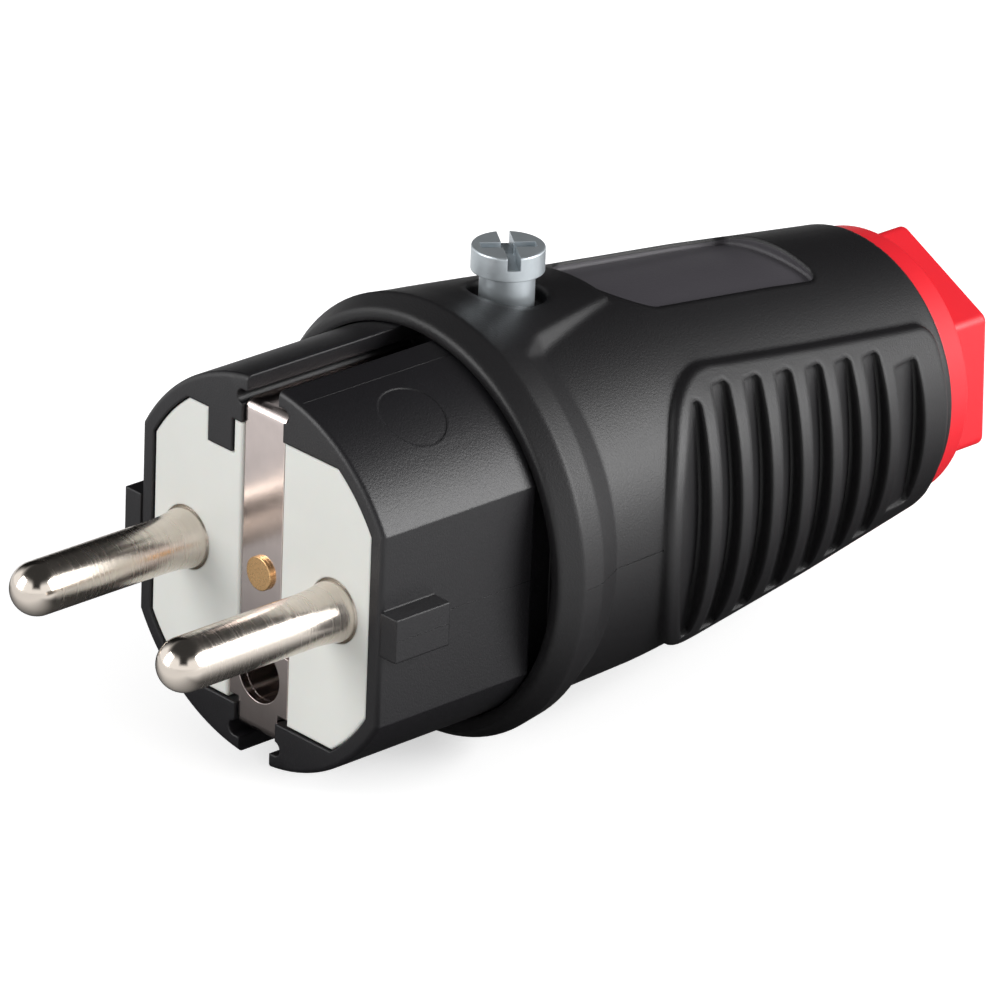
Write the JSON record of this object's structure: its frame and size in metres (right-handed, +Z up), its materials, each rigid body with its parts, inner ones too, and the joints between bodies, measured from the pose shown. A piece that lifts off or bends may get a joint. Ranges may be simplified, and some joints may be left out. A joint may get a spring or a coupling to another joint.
{
  "type": "earthed mains plug",
  "caption": "Straight rewirable earthed mains plug: round pins, off-white contact face, tapering black grip with scooped sides, red hexagonal cable gland nut.",
  "frame": {"origin": "midway between the pins, in the plane of the nose's front rim, which lies against the floor of the socket", "axes": "+X to the right as seen from the pin side, +Y from the pin face back to the cable gland, +Z up, through the housing screw; the pins point along -Y"},
  "size_m": [0.0401, 0.0977, 0.0433],
  "materials": {
    "grip_black": "fine moulded grain",
    "nose_black": "smooth matt moulding",
    "carrier_white": "smooth moulding",
    "nickel_plate": "bright nickel plate on brass",
    "strip_nickel": "satin nickel plate on brass strip",
    "rivet_brass": "bare brass",
    "zinc_plate": "clear zinc plate",
    "guard_steel": "rolled strip",
    "seal_rubber": "moulded rubber",
    "ring_grey": "smooth moulding",
    "nut_red": "satin moulding"
  },
  "bodies": {
    "plug_body": {"grip_housing": "grip_black", "front_shell": "nose_black", "contact_carrier": "carrier_white", "pin_left": "nickel_plate", "pin_right": "nickel_plate", "earth_strip": "strip_nickel", "earth_rivet": "rivet_brass", "earth_socket": "strip_nickel", "earth_terminal": "nickel_plate", "terminal_screw_left": "zinc_plate", "terminal_screw_right": "zinc_plate", "terminal_screw_earth": "zinc_plate", "wire_guard_left": "guard_steel", "wire_guard_right": "guard_steel", "wire_guard_earth": "guard_steel", "housing_screw": "zinc_plate", "housing_nut": "zinc_plate", "gland_seal": "seal_rubber"},
    "gland_ring": {"thrust_ring": "ring_grey"},
    "gland_turner": {"gland_nut": "nut_red"}
  },
  "joints": [
    {"name": "gland_travel", "type": "slide", "parent": "plug_body", "child": "gland_ring", "axis": [0, 1, 0], "range_m": [0, 0.006]},
    {"name": "gland_turn", "type": "hinge", "parent": "gland_ring", "child": "gland_turner", "pos_m": [0, 0.0713, 0], "axis": [0, 1, 0], "range_deg": [0, 1080]}
  ],
  "couplings": [
    {"joint": "gland_travel", "follows": "gland_turn", "m_per_rad": 0.00031831}
  ]
}
